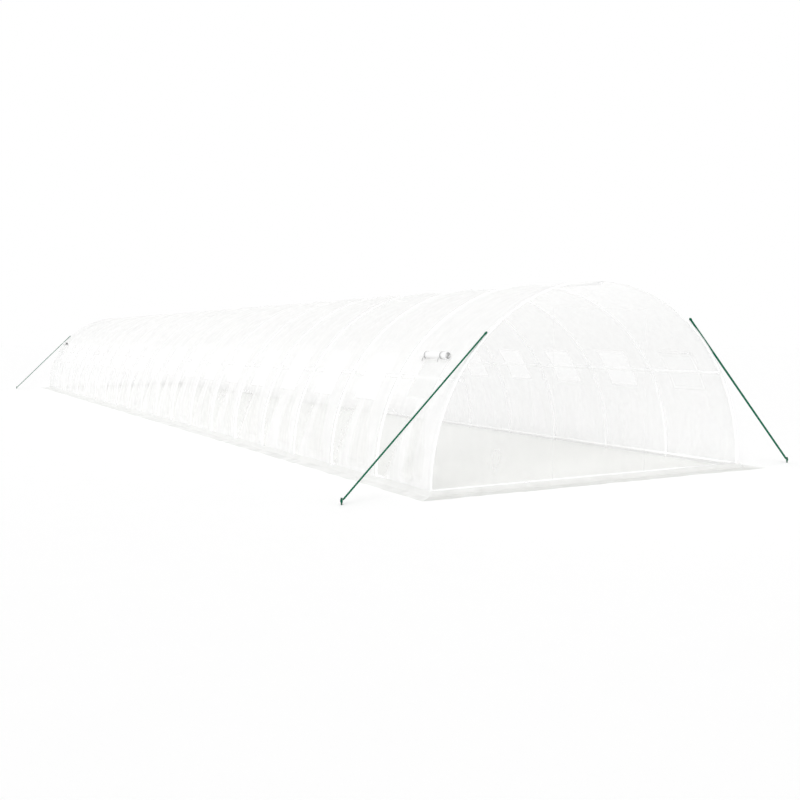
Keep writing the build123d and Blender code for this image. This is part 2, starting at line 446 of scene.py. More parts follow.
# %% Tube and clip
def tube_finish():
    """Zinc-coated steel: angular spangle in tone and gloss, dull white bloom, and a faint painted glow."""
    zinc = Finish("zinc_tube")
    place = zinc.place()
    flake = zinc.node("ShaderNodeTexVoronoi", None, {"Vector": place, "Scale": 70.0}, "Color")
    tone = zinc.split(flake)[0]
    bloom = zinc.noise(place, 5.0, 5.0).ease(0.45, 0.75)
    colour = zinc.mix(tone, grey(0.955), grey(0.978))
    colour = zinc.mix(bloom * 0.5, colour, (0.982, 0.982, 0.98, 1.0))
    # Emission strength 0.05 is a painted glow: the tubes give off a little light of their own, so they read
    # lighter.
    return zinc.set(Base_Color=colour, Metallic=0.04 - bloom * 0.03,
                    Roughness=tone * 0.12 + bloom * 0.2 + 0.35, Emission_Strength=0.05,
                    Normal=zinc.bump(zinc.noise(place, 120.0, 3.0), 0.08, 0.001))


def clip_finish():
    """Bright spring wire with dull patches."""
    clip = Finish("wire_clip")
    rub = clip.noise(clip.place(), 90.0, 4.0).ease(0.45, 0.8)
    colour = clip.mix(rub, (0.86, 0.865, 0.87, 1.0), (0.62, 0.63, 0.64, 1.0))
    return clip.set(Base_Color=colour, Metallic=0.6 + rub * 0.3, Roughness=0.35 + rub * 0.2)


zinc_tube, wire_clip = tube_finish(), clip_finish()
print("finishes made:", zinc_tube.name, wire_clip.name)

# %% Zip and strap
def zip_finish():
    """White tape with the teeth of a zip, counted along its height and its width."""
    tape = Finish("zip_tape")
    place = tape.place()
    x, _, z = tape.split(place)
    teeth = (z + x).wave(1250.0)
    weave = tape.noise(place, 400.0, 2.0)
    colour = tape.mix(teeth.ease(0.3, 0.7), (0.91, 0.915, 0.91, 1.0), (0.96, 0.96, 0.955, 1.0))
    normal = tape.bump(teeth + weave * 0.3, 0.4, 0.001)
    through = (0.935, 0.938, 0.933, 1.0)
    return tape.set_film(0.02 + weave * 0.04, 0.45, colour, through, normal, Roughness=0.5 + weave * 0.2)


def strap_finish():
    """Grey webbing, painted pale on the right wall where it is seen in shade: slanting threads in two
    directions, and worn patches.
    """
    web = Finish("grey_webbing")
    over, y, z = web.split(web.place())
    pitch = 1600.0
    threads = ((y + z) * pitch).math("SINE") * ((y - z) * pitch).math("SINE")
    worn = web.noise(web.place(), 60.0, 4.0)
    colour = web.mix(threads * 0.25 + worn * 0.5, grey(0.46), grey(0.62))
    # Painted light: straps on the right wall are made nearly white, so they don't read dark in the tunnel's
    # shade.
    colour = web.mix(over.ease(-0.1, 0.1), colour, grey(0.95))
    return web.set(Base_Color=colour, Roughness=0.65 + worn * 0.2, Normal=web.bump(threads, 0.5, 0.001))


zip_tape, grey_webbing = zip_finish(), strap_finish()
print("finishes made:", zip_tape.name, grey_webbing.name)

# %% Rope and peg
def rope_finish():
    """Dark green fibres that run slanting around each strand."""
    rope = Finish("green_rope")
    along, around, _ = rope.split(rope.flat())
    fibres = (along * 70.0 + around * 5.0).wave(2 * math.pi)
    fuzz = rope.noise(rope.place(), 240.0, 4.0)
    colour = rope.mix(fibres * 0.5 + fuzz * 0.5, (0.001, 0.072, 0.037, 1.0), (0.004, 0.22, 0.115, 1.0))
    normal = rope.bump(fibres + fuzz, 0.5, 0.0012)
    return rope.set(Base_Color=colour, Roughness=0.7 + fuzz * 0.2, Normal=normal, Specular_IOR_Level=0.15)


def peg_finish():
    """Dark green paint, scuffed to bare steel in patches."""
    peg = Finish("green_peg")
    place = peg.place()
    scuff = peg.noise(place, 150.0, 5.0, 0.7).ease(0.62, 0.72)
    shade = peg.noise(place, 40.0, 3.0)
    paint = peg.mix(shade, (0.006, 0.055, 0.03, 1.0), (0.014, 0.10, 0.055, 1.0))
    colour = peg.mix(scuff, paint, (0.34, 0.34, 0.33, 1.0))
    return peg.set(Base_Color=colour, Metallic=scuff * 0.9, Roughness=0.32 + shade * 0.2,
                   Normal=peg.bump(shade - scuff * 0.6, 0.2, 0.001))


green_rope, green_peg = rope_finish(), peg_finish()
print("finishes made:", green_rope.name, green_peg.name)

# %% [markdown]
# ## Hoops
# A hoop is a round tube bent into half a circle on two short straight feet. Its solid is an
# eight-sided bar in straight steps. Here a circle is carried along the true arc instead, one
# piece for each hoop, so that every hoop can still be told apart.

# %% Round hoops
hoop_radius = hoop_reach - tube_radius
tube_sides, hoop_points, foot_points = 14, 97, 3
y_axis, upward = (0.0, 1.0, 0.0), (0.0, 0.0, 1.0)


def arch(angle, radius, y):
    """Point of the cross-section: (radius cos a, y, springing + radius sin a)."""
    parts = np.broadcast_arrays(radius * np.cos(angle), y, springing + radius * np.sin(angle))
    return np.stack(parts, -1)


turn = np.linspace(0, math.pi, hoop_points)
rise = np.linspace(0, springing, foot_points, endpoint=False)
right_foot = np.stack(np.broadcast_arrays(hoop_radius, 0.0, rise), -1)
hoop_line = np.concatenate([right_foot, arch(turn, hoop_radius, 0.0), (right_foot * [-1, 1, 1])[::-1]])
for number, y in enumerate(hoop_places, 1):
    tube = tube_arrays(hoop_line + [0, y, 0], tube_radius, tube_sides, y_axis)
    put_piece(f"hoop_tube_{number:02d}", [tube], zinc_tube, [f"hoop_{number:02d}"])

# %% [markdown]
# ## Pipes
# Pipes lie just inside the hoops: one along the ridge, one along the middle of each wall, and
# four on the ground. They are cut in lengths that slip into each other, so the radius steps down
# a little at every third bay, where the end of one pipe is drawn narrower to fit the next.

# %% Round pipes with slip joints
first_joint, pipe_length, shortest_end = 2.2, 3.3, 0.5
joint_offsets, joint_step = np.array([-0.05, -0.045, 0.0, 0.001]), 0.0012


def pipe_line(start, end):
    """Straight path with extra points either side of every slip joint, and the radius there."""
    length = float(np.linalg.norm(np.subtract(end, start)))
    joints = np.arange(first_joint, length - shortest_end, pipe_length)
    places = np.concatenate([[0.0], (joints[:, None] + joint_offsets).ravel(), [length]])
    narrow = np.tile([0.0, joint_step, joint_step, 0.0], len(joints))
    radius = tube_radius - np.concatenate([[0.0], narrow, [0.0]])
    share = (places / length)[:, None]
    return np.asarray(start) * (1 - share) + np.asarray(end) * share, radius


for node in ("ridge_pipe", "left_side_pipe", "right_side_pipe", "left_ground_pipe", "right_ground_pipe",
             "front_ground_pipe", "back_ground_pipe"):
    low, high = (np.array(corner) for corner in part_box(node))
    middle, run = (low + high) / 2, int(np.argmax(high - low))
    start, end = middle.copy(), middle.copy()
    start[run], end[run] = low[run], high[run]
    tube = tube_arrays(*pipe_line(start, end), tube_sides, upward)
    put_piece(node + "_tube", [tube], zinc_tube, [node])

# %% [markdown]
# ## Spring clips
# Where a pipe crosses a hoop, a bent wire clip holds it: it passes under the pipe and hooks over
# the sides of the hoop, below the film. One clip is a tube along three quarters of an oval, and
# the oval lies across both tubes at half a right angle.

# %% Clips at the crossings
clip_depth, clip_width, wire_radius, clip_opening = 0.0285, 0.0215, 0.0024, 52
side_angle = 4 * bend


def clip_tube(angle, y, slant):
    """Tube along an open oval: depth cos t inward and width sin t along the slant."""
    t = np.radians(np.linspace(clip_opening - 180, 180 - clip_opening, 19))
    out = np.array([math.cos(angle), 0.0, math.sin(angle)])
    along = np.array([-math.sin(angle), 0.0, math.cos(angle)])
    lie = unit(along + slant * np.array(y_axis))
    heart = arch(angle, hoop_radius - tube_radius, y)
    depth, width = -clip_depth * np.cos(t), clip_width * np.sin(t)
    path = heart + depth[:, None] * out + width[:, None] * lie
    return tube_arrays(path, wire_radius, 6, np.cross(out, lie))


for name, angle in (("ridge", math.pi / 2), ("right_side", side_angle), ("left_side", math.pi - side_angle)):
    clips = [clip_tube(angle, y, slant) for y in hoop_places for slant in (1.0, -1.0)]
    put_piece(f"{name}_clips", clips, wire_clip)

# %% [markdown]
# ## The cover sheet
# The film is drawn over the hoops and sags a little between them. High up it is tight and only
# waves gently. Low down, under the windows, it is slack and hangs in folds that run down to the
# ground. All of that is one function of the angle around the arch and the place along it: how far
# the film lies outside the tubes. Walls, roof, nets, flaps and skirts all ask the same function.

# %% Lift of the film over the tubes
def bay_place(y):
    """Number of the bay that y lies in, and the way across it from 0 at its front hoop to 1."""
    place = np.clip((y + half_length) / bay_length, 0, bay_count)
    bay = np.minimum(np.floor(place), bay_count - 1)
    return bay.astype(int), place - bay


sag_everywhere, sag_more_at_top = 0.010, 0.013
wave_height, crease_height, fold_height = 0.0045, 0.0016, 0.013


def wall_arc(angle):
    """Metres up from the wall's foot, and the same moved on by 40 on the left for waves of its own."""
    arc = hoop_reach * np.minimum(angle, math.pi - angle)
    return arc, arc + np.where(angle > math.pi / 2, 40.0, 0.0)


def wall_folds(angle, y):
    """Upright folds of the slack lower film, from about -1.4 to 1.4, different on either side."""
    arc, moved = wall_arc(angle)
    return ripples(y, moved, 0.17, 1.3, 13) + 0.45 * ripples(y + 0.12 * arc, moved, 0.075, 0.9, 14)


def film_lift(angle, y):
    """Metres outside the tubes: -sag 4t(1-t) + free (waves + foot folds), with t the way across a bay."""
    t = bay_place(y)[1]
    free = smooth_step(0.02, 0.16, np.minimum(t, 1 - t) * bay_length)
    arc, moved = wall_arc(angle)
    sag = (sag_everywhere + sag_more_at_top * np.sin(angle) ** 2) * 4 * t * (1 - t)
    waves = wave_height * ripples(y, moved, 0.55, 0.5, 11)
    waves = waves + crease_height * ripples(y + 0.5 * arc, moved, 0.12, 0.5, 12)
    return -sag + free * (waves + fold_height * smooth_step(0.95, 0.15, arc) * wall_folds(angle, y))


lift = film_lift(np.linspace(0, math.pi, 200)[:, None], np.linspace(-half_length, half_length, 900)[None])
print(f"film lies from {lift.min() * 1000:.1f} to {lift.max() * 1000:.1f} mm off the tubes")

# %% [markdown]
# ## Haze of the cover
# Crumpled film looks white and tight film looks clear. On the lower walls the film is drawn tight
# beside each hoop and leaves a clear wedge there, wide under the window and narrow at the ground. A
# fainter pane, widest at the ground, lies in the middle of the bay. Both are strongest on the left
# wall and fade towards the back. The roof is hazy, and painted sheen raises the haze towards the
# back. The left wall is whitest at the height of its windows, which is a painted highlight, and a
# clear border runs around the windows on the right. The haze is a number from 0 to 1 on every
# point, which the film's material reads.

# %% Haze from folds and wedges
def arch_angle(z):
    """Angle up the arch at a height."""
    return math.asin((z - springing) / hoop_reach)


window_low, window_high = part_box("right_window_screens")
window_angles = arch_angle(window_low.z), arch_angle(window_high.z)
window_half = window_high.y - bay_middles[-1]
wedge_widths = np.random.default_rng(17).uniform(0.26, 0.46, (2, bay_count))
wedge_widths *= np.linspace(1.0, 0.65, bay_count)
wedge_widths[1, 0] = 0.46
pane_places = np.random.default_rng(18).uniform(0.3, 0.45, (2, bay_count))


def film_haze(angle, y):
    """0 clear to 1 white: on the lower wall 0.93 less a wedge and a pane in each bay, changed by folds."""
    bay, t = bay_place(y)
    arc = wall_arc(angle)[0]
    left = (angle > math.pi / 2).astype(int)
    climb = np.clip(arc / 0.7, 0, 1)
    width = wedge_widths[left, bay] * (0.3 + 0.8 * climb)
    wedge = smooth_step(1 - width - 0.06, 1 - width + 0.03, t)
    middle = pane_places[left, bay] + 0.04 * ripples(arc * 3, y, 1.0, 1.0, 19)
    spread = 0.2 - 0.12 * climb
    pane = smooth_step(spread + 0.05, spread - 0.04, np.abs(t - middle)) * smooth_step(0.02, 0.12, arc)
    folds = wall_folds(angle, y)
    back = bay / bay_count
    low = 0.93 + 0.2 * smooth_step(0.1, 0.9, folds) - 0.15 * smooth_step(-0.1, -0.9, folds)
    low = low - np.where(left, 0.8 - 0.36 * back, 0.2) * wedge
    low = low - np.where(left, 0.5 - 0.3 * back, 0.28 - 0.15 * back) * pane
    # Painted highlight: the left wall is hazier and whiter at window height. Painted sheen: back raises the
    # haze towards the back bays.
    band = left * smooth_step(0.5, 0.7, arc) * smooth_step(1.7, 1.3, arc)
    high = 0.82 + 0.16 * band + 0.12 * back + 0.12 * ripples(y, arc, 0.4, 0.5, 15)
    share = smooth_step(0.6, 0.95, arc)
    haze = np.clip(low * (1 - share) + high * share, 0, 1)
    off_side = np.abs(t - 0.5) * bay_length - window_half
    off_foot = np.maximum(window_angles[0] * hoop_reach - arc, arc - window_angles[1] * hoop_reach)
    return haze * np.where(left, 1.0, smooth_step(0.02, 0.04, np.maximum(off_side, off_foot)))


def film_surface(angle, y, out=0.0):
    """The cover's surface, moved outward by out: arch of radius tubes + lift + out."""
    return arch(angle, hoop_reach + film_gap + film_lift(angle, y) + out, y)


print("haze on the roof", float(film_haze(np.array(1.5), np.array(0.2)).round(2)))

# %% [markdown]
# ## Walls and roof
# The grid has lines exactly along the edges of the windows, so that whole cells can be left out
# there. The cover is laid in three pieces that meet edge to edge, at the welds above the windows.

# %% Grid lines of the walls
weld_angle = arch_angle(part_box("right_window_film")[1].z)
end_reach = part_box("ridge_film")[1].y
beside_window = 0.5 * bay_length - window_half
across = np.concatenate([np.linspace(0, beside_window, 11)[:-1],
                         bay_length / 2 + np.linspace(-window_half, window_half, 13)[:-1],
                         np.linspace(bay_length - beside_window, bay_length, 11)[:-1]])
along = np.concatenate([[-end_reach], (hoop_places[:-1, None] + across).ravel(), [half_length, end_reach]])
up_wall = np.concatenate([np.linspace(0, window_angles[0], 24)[:-1], np.linspace(*window_angles, 11)[:-1],
                          np.linspace(window_angles[1], weld_angle, 3)])
middle_y, middle_angle = (along[1:] + along[:-1]) / 2, (up_wall[1:] + up_wall[:-1]) / 2
in_window = (middle_angle > window_angles[0]) & (middle_angle < window_angles[1])
near_middle = np.abs(middle_y[:, None] - bay_middles).min(1) < window_half
wall_keep = ~(in_window[:, None] & near_middle[None])
wall_height = hoop_reach * weld_angle
hole_area = bay_count * 2 * window_half * hoop_reach * (window_angles[1] - window_angles[0])
print(f"openings take {hole_area:.2f} square metres out of each wall")

# %% Wall and roof sheets
def cover_arrays(angles, keep=None, flip=True):
    """Part of the cover over the given angles, with its haze."""
    angles = angles[:, None]
    return sheet_arrays(film_surface(angles, along[None]), film_haze(angles, along[None]), keep, flip)


for side in ("right", "left"):
    cover = cover_arrays(up_wall if side == "right" else math.pi - up_wall, wall_keep, side == "right")
    wall = put_piece(f"{side}_wall_sheet", [cover], cover_film,
                     [f"{side}_lower_film", f"{side}_window_film"])
    2 * end_reach
    wall_height * 2 * end_reach - hole_area
over_roof = np.linspace(weld_angle, math.pi - weld_angle, 59)
roof = put_piece("roof_sheet", [cover_arrays(over_roof)], cover_film,
                 ["left_roof_film", "ridge_film", "right_roof_film"])
2 * end_reach

# %% [markdown]
# ## Window nets
# Each window is closed by a fine net that is sewn behind the film with a white tape border. It
# follows the film, a few millimetres further in, and overlaps the opening all round.

# %% Nets behind the openings
def window_patch(side, middle, low, high, half_width, rows, columns, out):
    """Grid over one window: the film's own surface between two angles, moved outward by out(s, t)."""
    s, t = np.meshgrid(np.linspace(0, 1, rows), np.linspace(-1, 1, columns), indexing="ij")
    angle = low + (high - low) * s
    y = middle + half_width * t
    surface = film_surface(angle if side == "right" else math.pi - angle, y, out(s, t))
    return surface, np.stack([half_width * t, hoop_reach * (high - low) * (s - 0.5)], -1)


border, net_depth, net_sag = 0.018, 0.0025, 0.003
net_angles = window_angles[0] - border / hoop_reach, window_angles[1] + border / hoop_reach
for side in ("right", "left"):
    parts = []
    for middle in bay_middles:
        surface, flat = window_patch(side, middle, *net_angles, window_half + border, 9, 11,
                                     lambda s, t: -net_depth - net_sag * (1 - t * t) * s * (1 - s) * 4)
        parts.append(sheet_arrays(surface, flat, flip=side == "right"))
    nets = put_piece(f"{side}_window_nets", parts, window_net, [f"{side}_window_screens"])

# %% [markdown]
# ## Hanging flaps
# Outside every window hangs a flap of whiter film. It is welded to the cover along its top edge
# and hangs loose below, so it stands off a little more towards its foot and its lower edge waves.
# The flaps of the two end bays are rolled up, and are made in the next step.

# %% Flaps over the windows
flap_low, flap_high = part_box("right_window_flaps")
flap_angles = arch_angle(flap_low.z), arch_angle(flap_high.z)
flap_half = flap_high.y - bay_middles[-2]
flap_finishes = {"right": thin_flap_film, "left": flap_film}
weld_gap, foot_gap, flap_wave = 0.003, 0.010, 0.004
for side in ("right", "left"):
    parts = []
    for bay, middle in list(enumerate(bay_middles))[1:-1]:
        seed = 100 + bay + (50 if side == "left" else 0)

        def stand_off(s, t):
            """Off the film: least at the top weld, growing with waves towards the free lower edge."""
            free, y = (1 - s) ** 1.4, t * flap_half
            wave = ripples(y + 9, s, 0.11, 0.9, seed) + 0.6 * ripples(y + 3, s, 0.05, 0.6, seed + 7)
            held = flap_wave * (1 - free) * (1 + ripples(t, s, 0.4, 0.3, seed + 3))
            return weld_gap + foot_gap * free * (1 + wave) + held

        surface, flat = window_patch(side, middle, *flap_angles, flap_half, 17, 15, stand_off)
        hem = np.maximum(smooth_step(0.06, 0.02, flat[..., 1] - flat[..., 1].min()),
                         smooth_step(0.03, 0.0, flap_half - np.abs(flat[..., 0])))
        parts.append(sheet_arrays(surface, 0.45 + 0.5 * hem, flip=side == "right"))
    flaps = put_piece(f"{side}_hanging_flaps", parts, flap_finishes[side],
                      [f"{side}_window_flaps"])

# %% [markdown]
# ## Rolled flaps
# In the end bays the flap is rolled up from its foot and tied at the top of the window. A roll is
# a spiral: the radius shrinks steadily as the film winds inward. The turns shift a little along
# the roll, so that its ends look telescoped. The outermost turn starts at the top, by the weld.

# %% Rolls of film
roll_turns, wound_in, end_shift = 3.5, 0.62, 0.010
roll_finishes = {"right": thin_roll_film, "left": roll_film}
roll_middles = bay_middles[0], bay_middles[-1]


def roll_centre(node):
    """Middle of the roll's solid in the cross-section, and its radius."""
    low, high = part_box(node)
    return (low.x + high.x) / 2, (low.z + high.z) / 2, (high.x - low.x) / 2


def roll_surface(side, middle):
    """Spiral sheet and its haze: radius = outer (1 - share wound)."""
    x, z, outer = roll_centre(f"{side}_rolled_flaps")
    mirror = 1 if side == "right" else -1
    wound, y = np.meshgrid(np.linspace(0, 1, 120), np.linspace(-flap_half, flap_half, 25), indexing="ij")
    turn = wound * roll_turns
    radius = (outer - 0.001) * (1 - wound_in * wound)
    radius = radius * (1 + 0.05 * ripples(y, turn, 0.09, 0.33, 21 + mirror))
    away = math.atan2(z - springing, abs(x))
    angle = away + math.pi / 2 - 2 * math.pi * turn
    shift = end_shift * ripples(turn, y, 0.8, 5.0, 22 + mirror) * np.abs(y) / flap_half
    over, up = mirror * (abs(x) + radius * np.cos(angle)), z + radius * np.sin(angle)
    haze = 0.5 + 0.5 * smooth_step(0.3, 1.0, np.abs(y) / flap_half)
    return np.stack([over, middle + y + shift, up], -1), haze


for side in ("right", "left"):
    parts = [sheet_arrays(*roll_surface(side, middle), flip=side == "left") for middle in roll_middles]
    rolls = put_piece(f"{side}_flap_rolls", parts, roll_finishes[side], [f"{side}_rolled_flaps"])

# %% [markdown]
# ## Roll straps
# Two webbing straps go around each roll, grey on the left wall, and painted pale on the right, where
# they are seen from inside in shade. A strap is a flat band, so its profile is a flattened oval,
# carried around the roll and on into a loose end.

# %% Strap loops with loose ends
strap_points, strap_sides, strap_half, strap_edge, strap_gap = 41, 10, 0.007, 0.0009, 0.0022
strap_start, strap_turn = math.radians(-60), math.radians(400)
tail_out, tail_shift, tail_drop = 0.022, 0.006, 0.045


def strap_arrays(side, y):
    """Flat band: p(s, a) = path + thickness cos a out + width sin a along Y; the end hangs free."""
    x, z, outer = roll_centre(f"{side}_rolled_flaps")
    mirror = 1 if side == "right" else -1
    s = np.linspace(0, 1, strap_points)
    angle = strap_start + s * strap_turn
    reach = outer + strap_gap + strap_gap * s
    over, up = mirror * (abs(x) + reach * np.cos(angle)), z + reach * np.sin(angle)
    path = np.stack(np.broadcast_arrays(over, y, up), -1)
    tail = np.linspace(0.1, 1, 12)[:, None]
    drop = path[-1] + tail * [mirror * tail_out, tail_shift, 0.0] - tail ** 2 * [0.0, 0.0, tail_drop]
    path = np.concatenate([path, drop])
    forward = unit(np.gradient(path, axis=0))
    across = np.broadcast_to(y_axis, path.shape)
    out = np.cross(forward, across)
    turn = np.linspace(0, 2 * math.pi, strap_sides, endpoint=False)[None, :, None]
    ring = strap_edge * np.cos(turn) * out[:, None] + strap_half * np.sin(turn) * across[:, None]
    return closed_arrays(path[:, None] + ring)


strap_places = [middle + share * flap_half for middle in roll_middles for share in (-0.6, 0.6)]
straps = [strap_arrays(side, y) for side in ("right", "left") for y in strap_places]
put_piece("roll_strap_loops", straps, grey_webbing, ["roll_straps"])

# %% [markdown]
# ## End sheets and doors
# Each end is closed by film that hangs from the end hoop in soft upright folds. A doorway is left
# out of it for the door sheet, and the zip's solid runs around the joint. The end is a half disc,
# so its grid is stretched: the height of every column is that of the arch above it.

# %% Folds of the end film
door_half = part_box("front_door")[1].x
door_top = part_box("front_door")[1].z
end_plane = (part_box("front_end_film")[0].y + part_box("front_end_film")[1].y) / 2
end_radius = hoop_reach - 0.001
upright_height, pull_height = 0.0042, 0.004


def crown(x):
    """Height of the arch over x."""
    return springing + np.sqrt(np.maximum(end_radius ** 2 - x ** 2, 0))


def end_lift(x, z, seed):
    """Metres off the end's plane, and the haze: upright folds and slanting pulls, none at the rim."""
    free = smooth_step(0.0, 0.22, crown(x) - z) * smooth_step(0.0, 0.12, z - springing)
    upright = ripples(x, z, 0.19, 2.2, seed) + 0.5 * ripples(x, z, 0.08, 1.4, seed + 1)
    pull = ripples(x + 0.8 * z, z - 0.5 * x, 0.3, 0.9, seed + 2)
    pull = pull + ripples(x - 0.8 * z, z + 0.5 * x, 0.3, 0.9, seed + 3)
    lift = free * (upright_height * upright + pull_height * pull)
    low = smooth_step(0.9, 0.3, z)
    haze = 0.36 + 0.22 * smooth_step(0.1, 1.1, upright)
    haze = haze + 0.45 * low * smooth_step(-0.4, 2.0, pull) - 0.18 * low
    return lift, np.clip(haze, 0, 1)


def end_patch(x, low, high, seed, rows):
    """Columns at x from a low height to a high one, on the end's plane with its folds, and their haze."""
    low, high, x = (part[:, None] for part in np.broadcast_arrays(low, high, x))
    share = np.linspace(0, 1, rows)[None]
    x, z = np.broadcast_arrays(x, low * (1 - share) + high * share)
    lift, haze = end_lift(x, z, seed)
    return np.stack([x, end_plane - lift, z], -1), haze


print(f"doorways {2 * door_half:.2f} m wide, up to {door_top:.2f} m")

# %% End films with their doors
for end, way, seed in (("front", 1.0, 31), ("back", -1.0, 41)):
    beside = door_half + (end_radius - door_half) * np.sin(np.linspace(0, math.pi / 2, 40))
    over = np.linspace(-door_half, door_half, 41)
    rim = np.maximum(crown(beside), springing + 0.002)
    patches = [end_patch(beside, springing, rim, seed, 44),
               end_patch(-beside[::-1], springing, rim[::-1], seed, 44),
               end_patch(over, door_top, crown(over), seed, 9),
               end_patch(over, springing, door_top, seed, 46)]
    parts = [sheet_arrays(surface * [1, way, 1], haze, flip=way < 0) for surface, haze in patches]
    sheet = put_piece(f"{end}_end_sheet", parts[:3], end_film, [f"{end}_end_film"])
    area = math.pi * end_radius ** 2 / 2 - 2 * door_half * (door_top - springing)
    2 * end_radius
    door = put_piece(f"{end}_door_sheet", parts[3:], end_film, [f"{end}_door"])
    zip_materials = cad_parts[f"{end}_door_zip"].data.materials
    zip_materials.clear()
    zip_materials.append(zip_tape)

# %% [markdown]
# ## Skirts
# Below the arch the film runs on for the length of a hand. It drops from the foot of the wall,
# turns out and lies on the ground, rippled, with an uneven edge. The corners are cut at half a
# right angle, so that two skirts meet there.

# %% Skirts on the ground
skirt_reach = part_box("right_skirt")[1].x - hoop_reach
skirt_step, ground_gap, ripple_height = 0.045, 0.0035, 0.005


def skirt_surface(length, start, seed, foot_angle, shade):
    """Profile carried along the wall's foot: down a short slope, then out along the ground.

    Below a side wall its top follows the film's lift at the foot's angle, below an end it is straight.
    """
    count = int(length / skirt_step)
    run, out = np.meshgrid(np.linspace(-1, 1, count), np.linspace(0, 1, 15), indexing="ij")
    along_foot = run * length
    edge = 1 + 0.06 * ripples(along_foot, out, 0.22, 9.0, seed) * out
    reach = skirt_reach * out * edge
    slope = 0.045 + 0.012 * ripples(along_foot, out, 0.2, 9.0, seed + 1)
    ripple = ripples(along_foot, reach, 0.16, 0.15, seed + 2)
    ripple = ripple + 0.6 * ripples(along_foot, reach, 0.07, 0.1, seed + 3)
    lying = ground_gap + ripple_height * np.clip(ripple + 0.4, 0, 2)
    height = (springing + 0.0006) * smooth_step(1.0, 0.0, reach / slope)
    height = height + lying * smooth_step(0.0, 0.6, reach / slope)
    top = 0.0 if foot_angle is None else film_lift(np.full_like(along_foot, foot_angle), along_foot)
    hang = top * (1 - smooth_step(0.0, 0.5, out))
    points = np.stack([start + hang + reach, along_foot + run * reach * 0.999, height], -1)
    # The 0.6 term is painted light: the skirt's slope next to the wall's foot is made hazier and whiter, so
    # it doesn't read as a dark line of shade.
    return points, np.clip(shade + 0.35 * ripple + 0.6 * smooth_step(0.3, 0.1, out), 0, 1)


for side, length, start, seed, foot_angle, shade, film in (
        ("right", end_reach, hoop_reach + film_gap, 51, 0.0, 0.8, side_skirt_film),
        ("left", end_reach, hoop_reach + film_gap, 55, math.pi, 0.8, side_skirt_film),
        ("front", hoop_reach, -end_plane, 59, None, 0.36, end_skirt_film),
        ("back", hoop_reach, -end_plane, 63, None, 0.36, end_skirt_film)):
    surface, haze = skirt_surface(length, start, seed, foot_angle, shade)
    x, y, z = np.moveaxis(surface, -1, 0)
    placed = {"right": (x, y, z), "left": (-x, y, z), "front": (y, -x, z), "back": (y, x, z)}[side]
    part = sheet_arrays(np.stack(placed, -1), haze, flip=side in ("right", "front"))
    skirt = put_piece(f"{side}_skirt_sheet", [part], film, [f"{side}_skirt"])
    2 * length + skirt_reach

# %% [markdown]
# ## Guy ropes
# A rope is three strands laid around each other, so each strand is a tube along a screw line. The
# rope runs straight from a peg to the place where it touches the cover on the end hoop, and on the
# right a little further. It is taut, so it does not sag. A hitch of a few turns closes it at either
# end. The left ropes are a little thinner than their solids and the right ones a little thicker.

# %% Lines of the ropes
peg_low, peg_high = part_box("ground_pegs")
peg_reach = 0.010
peg_places = {1: peg_high.x - peg_reach, -1: -peg_low.x - peg_reach}
rope_tails = {1: 0.2, -1: 0.0}
rope_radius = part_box("guy_ropes")[1].y - half_length
rope_radii = {1: 1.18 * rope_radius, -1: 0.88 * rope_radius}
rope_height, hitch_height, touch_bends = 0.032, 0.036, 6
cover_out, rope_gap, peg_gap, loop_gap = 0.0158, 0.0003, 0.0083, 0.0005
strand_share, lay_share, lay_length, strand_step = 0.48, 0.536, 0.066, 0.0052


def rope_line(side):
    """Start at the peg, end at the cover or past it, and direction, in the upright plane of the end hoop."""
    hold = np.array([peg_places[side], rope_height])
    corner, angle = hoop_radius + cover_out / math.cos(bend / 2), touch_bends * bend
    touch = np.array([corner * math.cos(angle), springing + corner * math.sin(angle)]) - hold
    reach = float(np.hypot(*touch))
    heading = math.atan2(touch[1], touch[0]) - math.asin((rope_radii[side] + rope_gap) / reach)
    way = np.array([math.cos(heading), math.sin(heading)])
    start = (peg_gap + rope_radii[side] * way[1]) / -way[0]
    return hold + way * start, hold + way * (reach + rope_tails[side]), way


def strand(start, finish, way, phase, radius):
    """Screw line around the rope: a share of its radius off its axis, one turn in each lay length."""
    s = np.arange(0, float(np.hypot(*(finish - start))), strand_step)
    turn = phase + s * 2 * math.pi / lay_length
    lay = lay_share * radius
    heart = start + s[:, None] * way
    off = lay * np.cos(turn)[:, None] * np.array([-way[1], way[0]])
    over, up = (heart + off).T
    return np.stack([over, lay * np.sin(turn) - half_length, up], -1)


def hitch(heart, axis, radius, turns, thickness, rise):
    """Screw line of a few turns around an axis through a point."""
    t = np.linspace(0, 1, int(turns * 18))
    axis = unit(np.asarray(axis, float))
    one = unit(np.cross(axis, [0.0, 1.0, 0.02]))
    two = np.cross(axis, one)
    turn = 2 * math.pi * turns * t
    path = np.asarray(heart) + radius * (np.cos(turn)[:, None] * one + np.sin(turn)[:, None] * two)
    return path + (t - 0.5)[:, None] * rise * axis, thickness, axis


print("rope thickness in mm, right and left:", [round(2000 * radius, 1) for radius in rope_radii.values()])

